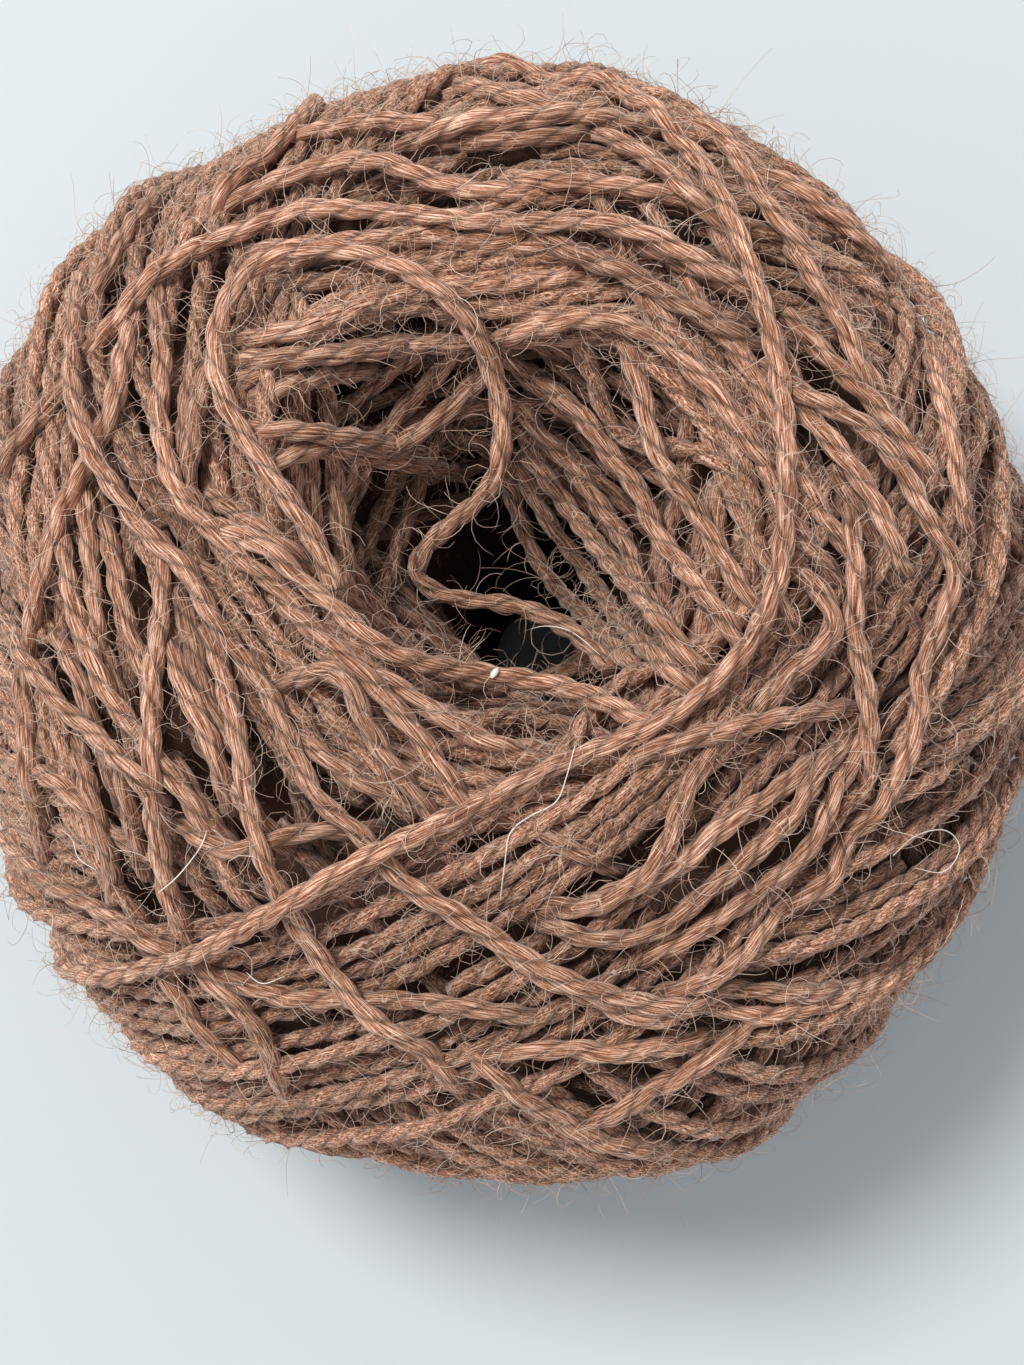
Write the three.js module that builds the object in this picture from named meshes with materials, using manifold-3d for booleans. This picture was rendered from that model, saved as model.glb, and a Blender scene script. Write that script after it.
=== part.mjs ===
// A hand-wound, centre-pull ball of two-ply fingering yarn, standing on its flat spot with the hole upright.
// The ball is one solid: a thick ring with a funnel on top, a narrow throat right through, and broad swaths
// of turns that cross each other all round it. Two loose turns that lie over the crown are fused to it.
// Millimetres, +Z up, origin at the middle of the base.
import * as THREE from "three";
import { mergeVertices } from "three/addons/utils/BufferGeometryUtils.js";
import Module from "manifold-3d";

// Driving sizes
const BALL_HEIGHT = 60;
const YARN_DIAMETER = 1.7;
const YARN_COLOUR = 0xa07358;
const AZIMUTH_STEPS = 100;
const MID_HEIGHT = BALL_HEIGHT * 0.48;

// The ring's section, from the foot round the outside, over the crown and down through the hole.
// radius is from the hole's axis, outline and swaths are how far that place takes part in the outline's
// unevenness and in the swaths, dx and dy are how far it leans off the axis, and steps is how many rows of
// faces lead to the next station.
const SECTION = [
  { station: "outer foot", radius: 22, height: -1.6, outline: 0.3, swaths: 0.6, dx: 0, dy: 0, steps: 4 },
  { station: "under the belly", radius: 33, height: 7.5, outline: 0.8, swaths: 1, dx: 0, dy: 0, steps: 8 },
  { station: "belly", radius: 38.6, height: 27, outline: 1, swaths: 1, dx: 0, dy: 0, steps: 8 },
  { station: "shoulder", radius: 33.8, height: 46, outline: 0.8, swaths: 1, dx: 0, dy: 0, steps: 7 },
  { station: "crown", radius: 22, height: 57, outline: 0.3, swaths: 1, dx: 0, dy: 1, steps: 4 },
  { station: "mouth", radius: 15, height: 52.2, outline: 0, swaths: 0.7, dx: 0, dy: 2.4, steps: 4 },
  { station: "funnel", radius: 9.6, height: 42, outline: 0, swaths: 0.1, dx: -0.4, dy: 1.4, steps: 4 },
  { station: "throat", radius: 7, height: 26, outline: 0, swaths: 0, dx: -0.4, dy: 0.8, steps: 3 },
  { station: "lower hole", radius: 8.6, height: 5, outline: 0, swaths: 0, dx: -0.2, dy: 0.4, steps: 3 },
  { station: "inner foot", radius: 13.5, height: -1.2, outline: 0, swaths: 0, dx: 0, dy: 0, steps: 3 },
];

// How far the outline stands off a true circle, every thirty degrees from +X.
const OUTLINE = [-3.2, -3.6, -2.2, 0.7, 0.8, 2.4, 0, 3.2, 3, 2.8, 0.4, -1.8];

// The swaths of turns that show, as bands on the surface. side is the way from the hole to the nearest
// part of the swath, in degrees from +X, clear is how far from the hole's axis it crosses the crown, wide
// is its half width, and each wraps the whole ball on its own tilted plane.
const SWATHS = [
  { swath: "far side, by the mouth", side: 101, clear: 18.5, wide: 3.8, rise: 2 },
  { swath: "far side, leaning right", side: 84, clear: 27, wide: 4.2, rise: 2.2 },
  { swath: "far side, at the rim", side: 99, clear: 37, wide: 4.4, rise: 1.8 },
  { swath: "right wall", side: 45, clear: 13.5, wide: 3.8, rise: 1.8 },
  { swath: "right, over the crown", side: 38, clear: 22.5, wide: 4, rise: 2.3 },
  { swath: "right, outer", side: 30, clear: 32, wide: 4.4, rise: 2 },
  { swath: "right, at the rim", side: 352, clear: 36, wide: 4.4, rise: 1.8 },
  { swath: "lower right, by the mouth", side: 316, clear: 19, wide: 4, rise: 2.1 },
  { swath: "lower right, middle", side: 308, clear: 28, wide: 4.4, rise: 2.2 },
  { swath: "near side, by the mouth", side: 264, clear: 15.5, wide: 3.8, rise: 1.8 },
  { swath: "near side, middle", side: 274, clear: 24.5, wide: 4.2, rise: 2.2 },
  { swath: "near side, outer", side: 258, clear: 34, wide: 4.4, rise: 2 },
  { swath: "left, long turns", side: 220, clear: 18.5, wide: 3.8, rise: 2 },
  { swath: "left, steep turns", side: 196, clear: 26, wide: 4.2, rise: 2.2 },
  { swath: "left, at the rim", side: 208, clear: 36, wide: 4.4, rise: 1.8 },
  { swath: "upper left, by the loop", side: 146, clear: 23, wide: 4, rise: 2.1 },
  { swath: "upper left, outer", side: 138, clear: 33, wide: 4.4, rise: 2.2 },
];

// Small unevenness of the wound form: a wave count round the hole, one along the section, size and phase.
const LUMPS = [
  { round: 2, along: 1, size: 0.35, phase: 0.6 },
  { round: 3, along: 2, size: 0.3, phase: 2.1 },
  { round: 5, along: 3, size: 0.22, phase: 4.0 },
  { round: 9, along: 4, size: 0.15, phase: 1.3 },
];

// The two loose turns: azimuth and radius from the middle of the ball, and how far the yarn's own middle
// stands off the surface under the swaths. A low lift buries an end.
const LOOSE_TURNS = [
  {
    turn: "slack loop from the hole",
    route: [
      { azimuth: 176, radius: 10.6, lift: -1.6 },
      { azimuth: 167, radius: 13.4, lift: 0.8 },
      { azimuth: 159, radius: 16.8, lift: 2 },
      { azimuth: 150, radius: 20.3, lift: 2.3 },
      { azimuth: 140, radius: 22.3, lift: 2.3 },
      { azimuth: 130, radius: 22.4, lift: 2.3 },
      { azimuth: 120, radius: 20.6, lift: 2.3 },
      { azimuth: 111, radius: 18, lift: 2.2 },
      { azimuth: 102, radius: 15.2, lift: 1.8 },
      { azimuth: 95, radius: 12.6, lift: 0.8 },
      { azimuth: 89, radius: 10.2, lift: -1.6 },
    ],
  },
  {
    turn: "long arc over the crown",
    route: [
      { azimuth: 93, radius: 37.8, lift: -0.8 },
      { azimuth: 84, radius: 36.6, lift: 2 },
      { azimuth: 73, radius: 33.4, lift: 2.4 },
      { azimuth: 63, radius: 29.2, lift: 2.4 },
      { azimuth: 53, radius: 25.4, lift: 2.4 },
      { azimuth: 41, radius: 22.2, lift: 2.3 },
      { azimuth: 28, radius: 20.1, lift: 2.2 },
      { azimuth: 13, radius: 18.9, lift: 2.1 },
      { azimuth: 358, radius: 18.4, lift: 2.1 },
      { azimuth: 343, radius: 17.9, lift: 2.1 },
      { azimuth: 328, radius: 17.4, lift: 2.1 },
      { azimuth: 313, radius: 16.6, lift: 2 },
      { azimuth: 298, radius: 16, lift: 2 },
      { azimuth: 283, radius: 16, lift: 2 },
      { azimuth: 268, radius: 17.4, lift: 2.1 },
      { azimuth: 254, radius: 20.6, lift: 2.3 },
      { azimuth: 244, radius: 24.6, lift: 2.4 },
      { azimuth: 237, radius: 29.4, lift: 2.4 },
      { azimuth: 231, radius: 34.2, lift: 2.2 },
      { azimuth: 226, radius: 38, lift: -0.8 },
    ],
  },
];
const TURN_SIDES = 6;
const TURN_STEP = 2.6;

// Smooth closed curves through the stations: the section itself, what goes with it, and the outline.
const closedCurve = (points) => new THREE.CatmullRomCurve3(points, true, "centripetal");
const sectionCurve = closedCurve(SECTION.map((s) => new THREE.Vector3(s.radius, 0, s.height)));
const leanCurve = closedCurve(SECTION.map((s) => new THREE.Vector3(s.dx, s.dy, 0)));
const shareCurve = closedCurve(SECTION.map((s) => new THREE.Vector3(s.outline, s.swaths, 0)));
const outlineCurve = closedCurve(OUTLINE.map((off, i) => new THREE.Vector3(off, i, 0)));

// Where each grid row lies on the section, from 0 to 1.
const rowPlaces = SECTION.flatMap((s, i) =>
  Array.from({ length: s.steps }, (_, k) => (i + k / s.steps) / SECTION.length),
);

// How far a swath raises the surface at a point: a rounded ridge along the swath's own tilted plane.
function swathRise({ side, clear, wide, rise }, point) {
  const tilt = Math.atan2(clear, BALL_HEIGHT - MID_HEIGHT);
  const a = THREE.MathUtils.degToRad(side);
  const reach = point.x * Math.cos(a) + point.y * Math.sin(a);
  const off = reach * Math.cos(tilt) - (point.z - MID_HEIGHT) * Math.sin(tilt);
  const share = Math.min(Math.abs(off) / wide, 1);
  return rise * Math.cos((share * Math.PI) / 2);
}

// How far the highest swath and the lumps raise the surface, with no swaths inside the hole.
function surfaceRise(point, azimuth, place) {
  const swaths = Math.max(...SWATHS.map((swath) => swathRise(swath, point)));
  const lumps = LUMPS.reduce(
    (sum, l) => sum + l.size * Math.sin(l.round * azimuth + 2 * Math.PI * l.along * place + l.phase),
    0,
  );
  return (swaths + lumps) * shareCurve.getPoint(place).y;
}

// A point of the section turned to an azimuth in radians, and the way out of the ball there.
function underSwaths(azimuth, place) {
  const p = sectionCurve.getPoint(place);
  const t = sectionCurve.getTangent(place);
  const lean = leanCurve.getPoint(place);
  const turn = THREE.MathUtils.euclideanModulo(azimuth / (2 * Math.PI), 1);
  const radius = p.x + outlineCurve.getPoint(turn).x * shareCurve.getPoint(place).x;
  const [c, s] = [Math.cos(azimuth), Math.sin(azimuth)];
  return {
    point: new THREE.Vector3(radius * c + lean.x, radius * s + lean.y, p.z),
    out: new THREE.Vector3(t.z * c, t.z * s, -t.x),
  };
}

// The ring as a closed grid, flattened where it rests. Each four-sided cell is split along the diagonal
// that bends less, so that the swaths' edges come out clean.
function woundRing() {
  const rows = rowPlaces.length;
  const points = [];
  for (const place of rowPlaces)
    for (let k = 0; k < AZIMUTH_STEPS; k++) {
      const azimuth = (2 * Math.PI * k) / AZIMUTH_STEPS;
      const { point, out } = underSwaths(azimuth, place);
      point.addScaledVector(out, surfaceRise(point, azimuth, place));
      point.z = Math.max(point.z, 0);
      points.push(point);
    }
  const at = (row, k) => (row % rows) * AZIMUTH_STEPS + (k % AZIMUTH_STEPS);
  const indices = [];
  for (let row = 0; row < rows; row++)
    for (let k = 0; k < AZIMUTH_STEPS; k++) {
      const [a, b, c, d] = [at(row, k), at(row, k + 1), at(row + 1, k + 1), at(row + 1, k)];
      if (points[a].distanceTo(points[c]) < points[b].distanceTo(points[d])) indices.push(a, b, c, a, c, d);
      else indices.push(a, b, d, b, c, d);
    }
  const ring = new THREE.BufferGeometry();
  ring.setFromPoints(points);
  ring.setIndex(indices);
  return ring;
}

// The place on the section's upper side that lies at a radius.
function placeOnTop(radius) {
  const from = SECTION.findIndex((s) => s.station === "belly") / SECTION.length;
  const to = SECTION.findIndex((s) => s.station === "throat") / SECTION.length;
  let [low, high] = [from, to];
  for (let i = 0; i < 30; i++) {
    const middle = (low + high) / 2;
    if (sectionCurve.getPoint(middle).x > radius) low = middle;
    else high = middle;
  }
  return low;
}

// A loose turn as a round tube along its route.
function looseTurn({ route }) {
  const points = route.map(({ azimuth, radius, lift }) => {
    const { point, out } = underSwaths(THREE.MathUtils.degToRad(azimuth), placeOnTop(radius));
    return point.addScaledVector(out, lift);
  });
  const path = new THREE.CatmullRomCurve3(points, false, "centripetal");
  const round = Array.from({ length: TURN_SIDES }, (_, i) => {
    const a = (2 * Math.PI * i) / TURN_SIDES;
    return new THREE.Vector2(Math.cos(a), Math.sin(a)).multiplyScalar(YARN_DIAMETER / 2);
  });
  return new THREE.ExtrudeGeometry(new THREE.Shape(round), {
    steps: Math.round(path.getLength() / TURN_STEP),
    extrudePath: path,
    bevelEnabled: false,
  });
}

const wasm = await Module();
wasm.setup();

function toSolid(geometry) {
  const bare = geometry.clone();
  bare.deleteAttribute("normal");
  bare.deleteAttribute("uv");
  const merged = mergeVertices(bare, 1e-4);
  return new wasm.Manifold(
    new wasm.Mesh({
      numProp: 3,
      vertProperties: new Float32Array(merged.attributes.position.array),
      triVerts: new Uint32Array(merged.index.array),
    }),
  );
}

function toGeometry(solid) {
  const mesh = solid.getMesh();
  const geometry = new THREE.BufferGeometry();
  geometry.setAttribute("position", new THREE.BufferAttribute(new Float32Array(mesh.vertProperties), 3));
  geometry.setIndex(new THREE.BufferAttribute(new Uint32Array(mesh.triVerts), 1));
  return geometry;
}

// The ring with its loose turns, moved so that its box stands centred on the origin.
function woundBall() {
  const solid = LOOSE_TURNS.map(looseTurn)
    .map(toSolid)
    .reduce((sum, turn) => sum.add(turn), toSolid(woundRing()));
  const geometry = toGeometry(solid);
  geometry.computeBoundingBox();
  const middle = geometry.boundingBox.getCenter(new THREE.Vector3());
  geometry.translate(-middle.x, -middle.y, -geometry.boundingBox.min.z);
  geometry.computeVertexNormals();
  return geometry;
}

const ball = new THREE.Group();
const wool = new THREE.MeshStandardMaterial({ color: YARN_COLOUR, roughness: 0.95, metalness: 0 });
const yarn = new THREE.Mesh(woundBall(), wool);
yarn.name = "wound_yarn";
ball.add(yarn);

export default ball;
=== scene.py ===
# A hand-wound, centre-pull ball of fuzzy two-ply fingering yarn, on a plain pale surface.
# Every strand is laid on the ones below it, so that the turns cross, nest and bridge as wound yarn does.
# Lengths are in millimetres and become metres as each mesh is made.
import math

import bpy
import numpy as np
from mathutils import Matrix, Vector


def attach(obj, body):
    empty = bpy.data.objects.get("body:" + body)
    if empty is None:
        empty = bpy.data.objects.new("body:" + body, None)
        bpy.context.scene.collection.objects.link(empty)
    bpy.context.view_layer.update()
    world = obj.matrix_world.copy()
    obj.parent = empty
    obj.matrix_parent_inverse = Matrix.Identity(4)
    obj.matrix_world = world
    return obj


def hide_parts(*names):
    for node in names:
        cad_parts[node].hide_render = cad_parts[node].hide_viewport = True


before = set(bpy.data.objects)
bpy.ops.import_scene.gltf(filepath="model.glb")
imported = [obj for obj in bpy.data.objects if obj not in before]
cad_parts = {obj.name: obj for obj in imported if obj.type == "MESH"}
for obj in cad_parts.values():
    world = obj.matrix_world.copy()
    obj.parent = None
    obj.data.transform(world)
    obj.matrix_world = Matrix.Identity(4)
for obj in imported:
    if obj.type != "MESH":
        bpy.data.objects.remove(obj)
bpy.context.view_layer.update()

METRE = 0.001

# The ball and its yarn
BALL_TOP = 60.0
MID_HEIGHT = 28.0
BELOW = 35.0
HOLE = np.array([1.2, 1.8])
MIDDLE = np.array([0.0, 0.0, MID_HEIGHT])
BULGE = 2.3
OUTLINE = [39.8, 39.2, 40.2, 42.0, 42.0, 43.6, 40.6, 43.0, 43.2, 43.4, 43.0, 40.2]
YARN = 1.46
CONTACT = 1.3
SLACK = 0.7
BRIDGING = 16
TRIALS = 5
FOOT_HEIGHT = 4.0
FOOT_SPAN = FOOT_HEIGHT - YARN / 2
PLY_HALF_TURN = 2.7

# The photo's frame and the camera, which stands over the ball on its near side
PHOTO_WIDTH = 1024
PHOTO_HEIGHT = 1365
CAMERA_PLACE = np.array([12.9, -29.0, 216.0])
CAMERA_AIM = np.array([-0.23, -5.49, 28.0])
LENS = 65.0
SENSOR = 36.0
FOCAL = LENS / SENSOR * PHOTO_HEIGHT


def unit(v):
    return v / np.linalg.norm(v, axis=-1, keepdims=True)


def camera_axes():
    back = unit(CAMERA_PLACE - CAMERA_AIM)
    right = unit(np.cross([0.0, 1.0, 0.0], back))
    return right, np.cross(back, right), back


def photo_rays(pixels):
    """The directions in which the camera sees these pixels of the photo."""
    right, up, back = camera_axes()
    across = (pixels[:, :1] - PHOTO_WIDTH / 2) / FOCAL
    along = (PHOTO_HEIGHT / 2 - pixels[:, 1:2]) / FOCAL
    return unit(across * right + along * up - back)


def add_camera():
    data = bpy.data.cameras.new("camera")
    data.sensor_fit = "VERTICAL"
    data.sensor_height = SENSOR
    data.lens = LENS
    camera = bpy.data.objects.new("camera", data)
    bpy.context.scene.collection.objects.link(camera)
    turn = Matrix(camera_axes()).transposed().to_4x4()
    camera.matrix_world = Matrix.Translation(Vector(CAMERA_PLACE * METRE)) @ turn
    bpy.context.scene.camera = camera


# The wound form


def outline_radius(azimuth):
    waves = np.fft.rfft(OUTLINE) / len(OUTLINE)
    return waves[0].real + 2 * sum((waves[k] * np.exp(1j * k * azimuth)).real for k in range(1, 6))


def hull(rays, inset):
    """How far out from its middle the ball reaches along each ray, less an inset."""
    outline = outline_radius(np.arctan2(rays[:, 1], rays[:, 0]))
    level = np.hypot(rays[:, 0], rays[:, 1]) / (outline - inset)
    top = BALL_TOP - MID_HEIGHT - inset
    upright = np.abs(rays[:, 2]) / np.where(rays[:, 2] > 0, top, BELOW - inset)
    foot = (MID_HEIGHT - inset) / np.maximum(-rays[:, 2], 1e-3)
    return np.minimum((level**BULGE + upright**BULGE) ** (-1 / BULGE), foot)


# The funnel's wall: how far from the hole's axis, and how high
WALL_CLEAR = [5.6, 7.2, 9.2, 11.2, 13.2, 15.0, 17.0, 19.0, 21.0, 23.0]
WALL_HEIGHT = [27.0, 34.0, 41.5, 46.3, 49.8, 52.2, 54.2, 55.8, 56.8, 57.2]


# The charts' grids: the six faces round the ball's middle, and the one that the camera sees
FACE_REACH = 1.12
FACE_CELLS = 190
SEEN_REACH = (0.205, 0.27)
SEEN_CELLS = (260, 342)


class Chart:
    """A grid of rays from one place. Along each ray it keeps where the middle of one more strand has to
    lie, so that it rests on the strands that are there: beyond them, or on the near side of them."""

    WINDOW = 7

    def __init__(self, place, axes, reach, cells, beyond):
        self.place, self.axes, self.beyond = np.array(place), np.array(axes), beyond
        self.reach, self.cells = np.array(reach), np.array(cells)
        steps = [np.linspace(-r, r, c) for r, c in zip(reach, cells)]
        flat = np.stack(np.meshgrid(*steps, indexing="ij"), -1)
        self.rays = unit(self.axes[0] + flat @ self.axes[1:])
        self.clear()

    def clear(self):
        self.rest = np.full(self.cells, 0.0 if self.beyond > 0 else -400.0)

    def find(self, points):
        """The cell of each point, and whether the chart covers it."""
        local = (points - self.place) @ self.axes.T
        ahead = np.maximum(local[:, :1], 1e-6)
        cell = (local[:, 1:] / ahead / self.reach + 1) / 2 * (self.cells - 1)
        covered = (local[:, 0] > 1e-6) & np.all((cell >= 0) & (cell <= self.cells - 1), axis=1)
        return cell, covered

    def add(self, points):
        cell, _ = self.find(points)
        near = np.all((cell > -4) & (cell < self.cells + 3), axis=1)
        near &= (points - self.place) @ self.axes[0] > 1
        points, cell = points[near], np.rint(cell[near]).astype(int)
        steps = np.arange(-self.WINDOW, self.WINDOW + 1)
        i = cell[:, 0, None, None] + steps[None, :, None]
        j = cell[:, 1, None, None] + steps[None, None, :]
        i, j = np.broadcast_arrays(i, j)
        inside = (i >= 0) & (i < self.cells[0]) & (j >= 0) & (j < self.cells[1])
        who = np.broadcast_to(np.arange(len(points))[:, None, None], i.shape)[inside]
        i, j = i[inside], j[inside]
        offset = points[who] - self.place
        along = np.einsum("ij,ij->i", self.rays[i, j], offset)
        aside = np.einsum("ij,ij->i", offset, offset) - along**2
        meets = (aside < CONTACT**2) & (along > 0)
        rest = self.beyond * along[meets] + np.sqrt(CONTACT**2 - aside[meets])
        np.maximum.at(self.rest, (i[meets], j[meets]), rest)

    def look(self, points):
        cell, _ = self.find(points)
        i, j = np.clip(np.rint(cell).astype(int), 0, self.cells - 1).T
        return self.rest[i, j]


class Ground:
    """What is wound so far, seen from the ball's middle, on the six faces of a cube."""

    def __init__(self):
        self.faces = []
        for axis in range(3):
            for sign in (1, -1):
                axes = np.roll(np.eye(3), -axis, axis=0) * [[sign], [1], [1]]
                self.faces.append(Chart(MIDDLE, axes, (FACE_REACH,) * 2, (FACE_CELLS,) * 2, 1))
        self.sinks = [np.zeros((FACE_CELLS, FACE_CELLS)) for _ in self.faces]

    def add(self, points):
        for face in self.faces:
            face.add(points)

    def find(self, rays, grids):
        found = np.zeros(len(rays))
        biggest = np.argmax(np.abs(rays), axis=1)
        positive = rays[np.arange(len(rays)), biggest] > 0
        for k, face in enumerate(self.faces):
            mine = (biggest == k // 2) & (positive == (k % 2 == 0))
            if mine.any():
                cell, _ = face.find(MIDDLE + rays[mine])
                i, j = np.clip(np.rint(cell).astype(int), 0, FACE_CELLS - 1).T
                found[mine] = grids[k][i, j]
        return found

    def look(self, rays):
        return self.find(rays, [face.rest for face in self.faces])

    def base(self, rays):
        """Where the winding starts from, so that the finished ball reaches its form."""
        return hull(rays, 0.0) - self.find(rays, self.sinks)

    def around(self):
        """The level of the winding round each ray, evened out over a few strands."""
        levels = []
        for face in self.faces:
            level, mass = face.rest * (face.rest > 5), (face.rest > 5).astype(float)
            for _ in range(50):
                level, mass = spread(level), spread(mass)
            levels.append(level / np.maximum(mass, 0.05) - CONTACT)
        return levels

    def excess(self, slack, rounds):
        """How far the winding reaches beyond the ball's form, evened out over a few strands."""
        evened = []
        for face in self.faces:
            shape = hull(face.rays.reshape(-1, 3), 0.0).reshape(FACE_CELLS, FACE_CELLS)
            mass = (face.rest > 5).astype(float)
            over = mass * (face.rest - CONTACT + YARN / 2 + slack - shape)
            for _ in range(rounds):
                over, mass = spread(over), spread(mass)
            evened.append(over / np.maximum(mass, 0.05))
        return evened

    def clear(self):
        for face in self.faces:
            face.clear()

    def settle(self):
        """Lowers the start of the winding wherever the ball has grown beyond its form."""
        for sink, over in zip(self.sinks, self.excess(SLACK, 60)):
            sink += over
        self.clear()


def spread(grid):
    grid = np.pad(grid, 1, mode="edge")
    grid = (grid[:-2] + 2 * grid[1:-1] + grid[2:]) / 4
    return (grid[:, :-2] + 2 * grid[:, 1:-1] + grid[:, 2:]) / 4


# Paths of strands


def waver(count, size, waves, closed):
    """A smooth random offset along a strand."""
    t = np.linspace(0, 1, count, endpoint=not closed)
    total = np.zeros(count)
    for k in range(1, waves + 1):
        total += rng.normal() / math.sqrt(k) * np.sin(2 * math.pi * (k * t + rng.random()))
    return size * total / math.sqrt(waves)


def smooth(points, times, closed):
    """Evens out a path, and keeps the ends of an open one."""
    for _ in range(times):
        evened = 0.25 * np.roll(points, 1, 0) + 0.5 * points + 0.25 * np.roll(points, -1, 0)
        if not closed:
            evened[0], evened[-1] = points[0], points[-1]
        points = evened
    return points


def pull_taut(place, rays, need, beyond, closed, rounds):
    """Distances along the rays from one place that pull a strand tight over what it has to clear."""
    far = need.copy()
    for _ in range(rounds):
        points = rays * (beyond * far)[:, None]
        between = (np.roll(points, 1, 0) + np.roll(points, -1, 0)) / 2
        pulled = np.maximum(need, beyond * np.einsum("ij,ij->i", between, rays))
        if not closed:
            pulled[0], pulled[-1] = far[0], far[-1]
        far = pulled
    return place + rays * (beyond * far)[:, None]


def resample(points, closed, step):
    """The path at even steps, along a smooth curve through its points."""
    if closed:
        points = np.vstack([points[-1:], points, points[:2]])
    else:
        points = np.vstack([2 * points[:1] - points[1:2], points, 2 * points[-1:] - points[-2:-1]])
    a, b, c, d = points[:-3], points[1:-2], points[2:-1], points[3:]
    lengths = np.linalg.norm(c - b, axis=1)
    reach = np.concatenate([[0], np.cumsum(lengths)])
    count = max(int(round(reach[-1] / step)), 3)
    at = np.linspace(0, reach[-1], count, endpoint=not closed)
    k = np.clip(np.searchsorted(reach, at, side="right") - 1, 0, len(b) - 1)
    t = ((at - reach[k]) / np.maximum(lengths[k], 1e-9))[:, None]
    return 0.5 * (2 * b[k] + (c[k] - a[k]) * t + (2 * a[k] - 5 * b[k] + 4 * c[k] - d[k]) * t**2
                  + (3 * b[k] - a[k] - 3 * c[k] + d[k]) * t**3)


class Ball:
    """The strands of the ball, in the order in which they are laid."""

    def __init__(self):
        self.ground = Ground()
        right, up, back = camera_axes()
        self.seen = Chart(CAMERA_PLACE, (-back, right, up), SEEN_REACH, SEEN_CELLS, -1)
        self.strands = []

    def keep(self, points, closed, group):
        self.ground.add(points)
        self.seen.add(points)
        self.strands.append({"points": points, "closed": closed, "group": group,
                             "tone": rng.normal(), "start": rng.random() * 1000})

    def flatten_foot(self):
        """Presses the lowest strands flat, as the ball's own weight does."""
        for strand in self.strands:
            z = strand["points"][:, 2]
            low = z < FOOT_HEIGHT
            z[low] = YARN / 2 + FOOT_SPAN * np.exp((z[low] - FOOT_HEIGHT) / FOOT_SPAN)

    def unwind(self):
        self.ground.settle()
        self.seen.clear()
        self.strands = []

    def round_off(self):
        """Moves the strands in or out with their neighbours, so that the ball's outside is even."""
        over = self.ground.excess(SLACK, 150)
        self.ground.clear()
        self.seen.clear()
        for strand in self.strands:
            offset = strand["points"] - MIDDLE
            far = np.linalg.norm(offset, axis=1)
            rays = offset / far[:, None]
            shift = self.ground.find(rays, over)
            deep = hull(rays, 0.0) + shift - far
            shift *= np.clip(1.5 - deep / 12, 0, 1) * (strand["group"] != "funnel")
            far -= smooth(shift[:, None], 8, strand["closed"])[:, 0]
            far -= 0.85 * np.maximum(far - hull(rays, -0.3), 0)
            strand["points"] = smooth(MIDDLE + rays * far[:, None], 4, strand["closed"])
            self.ground.add(strand["points"])
            self.seen.add(strand["points"])

    def lay(self, rays, closed, group):
        """Winds one strand along the rays from the ball's middle, on top of what is there."""
        need = np.maximum(self.ground.base(rays), self.ground.look(rays))
        points = pull_taut(MIDDLE, rays, need, 1, closed, BRIDGING)
        self.keep(smooth(points, 2, closed), closed, group)


TURN_RADIUS = 36.0
TURN_POINTS = 220


def turn_rays(side, clear, offset, slip):
    """The rays of one turn that passes the hole on that side, clear of the hole's axis."""
    a = math.radians(side)
    top = np.array([*HOLE, BALL_TOP - 3.0]) + clear * np.array([math.cos(a), math.sin(a), 0.0])
    first = unit(top - MIDDLE)
    second = np.array([-math.sin(a), math.cos(a), 0.0])
    outward = np.cross(second, first)
    angle = np.linspace(0, 2 * math.pi, TURN_POINTS, endpoint=False)
    shift = (offset + waver(TURN_POINTS, slip, 5, True)) / TURN_RADIUS
    return unit(np.cos(angle)[:, None] * first + np.sin(angle)[:, None] * second
                + shift[:, None] * outward)


# Swaths of turns, from the inside out. side is the way from the hole to the swath's nearest part, in
# degrees from +X. clear runs from the first turn to the last, and fan turns them against each other.
SWATHS = [
    dict(side=46, clear=(15, 27), turns=8, fan=4, slip=0.4),
    dict(side=136, clear=(19, 37), turns=11, fan=8, slip=0.5),
    dict(side=232, clear=(15, 38), turns=13, fan=-6, slip=0.5),
    dict(side=20, clear=(18, 38), turns=12, fan=6, slip=0.5),
    dict(side=97, clear=(18, 40), turns=14, fan=-6, slip=0.5),
    dict(side=264, clear=(16, 38), turns=16, fan=6, slip=0.5),
    dict(side=189, clear=(16, 37), turns=13, fan=10, slip=0.5),
    dict(side=213, clear=(16, 22), turns=4, fan=-5, slip=0.4),
    dict(side=312, clear=(16, 31), turns=11, fan=5, slip=0.4),
]


# Chords round the smaller hole underneath, from the inside out
FOOT_CHORDS = [
    dict(side=10, clear=(3.9, 17), turns=7, fan=10),
    dict(side=130, clear=(4.1, 16), turns=7, fan=-10),
    dict(side=250, clear=(3.9, 17), turns=7, fan=8),
    dict(side=70, clear=(3.9, 17), turns=7, fan=-8),
    dict(side=190, clear=(4.1, 16), turns=7, fan=10),
    dict(side=310, clear=(3.9, 17), turns=7, fan=-10),
]


def wind_foot(ball):
    for swath in FOOT_CHORDS:
        for clear in np.linspace(*swath["clear"], swath["turns"]):
            a = math.radians(swath["side"] + swath["fan"] * (rng.random() - 0.5))
            along = np.arange(-20.0, 20.0, 1.0)
            way = np.array([math.cos(a), math.sin(a)])
            off = clear + waver(len(along), 0.4, 3, False)
            flat = HOLE * 0.3 + off[:, None] * way + along[:, None] * np.array([-way[1], way[0]])
            height = np.interp(np.hypot(*flat.T), (7, 9, 14, 18), (9.0, 5.0, 2.0, 1.0))
            rays = unit(np.column_stack([flat, height]) - MIDDLE)
            far = np.linalg.norm(np.column_stack([flat, height]) - MIDDLE, axis=1) - 2.0
            need = np.minimum(np.maximum(far, ball.ground.look(rays)), far + 2.5)
            points = pull_taut(MIDDLE, rays, need, 1, False, 30)
            ball.keep(smooth(points, 2, False), False, "under")


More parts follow.
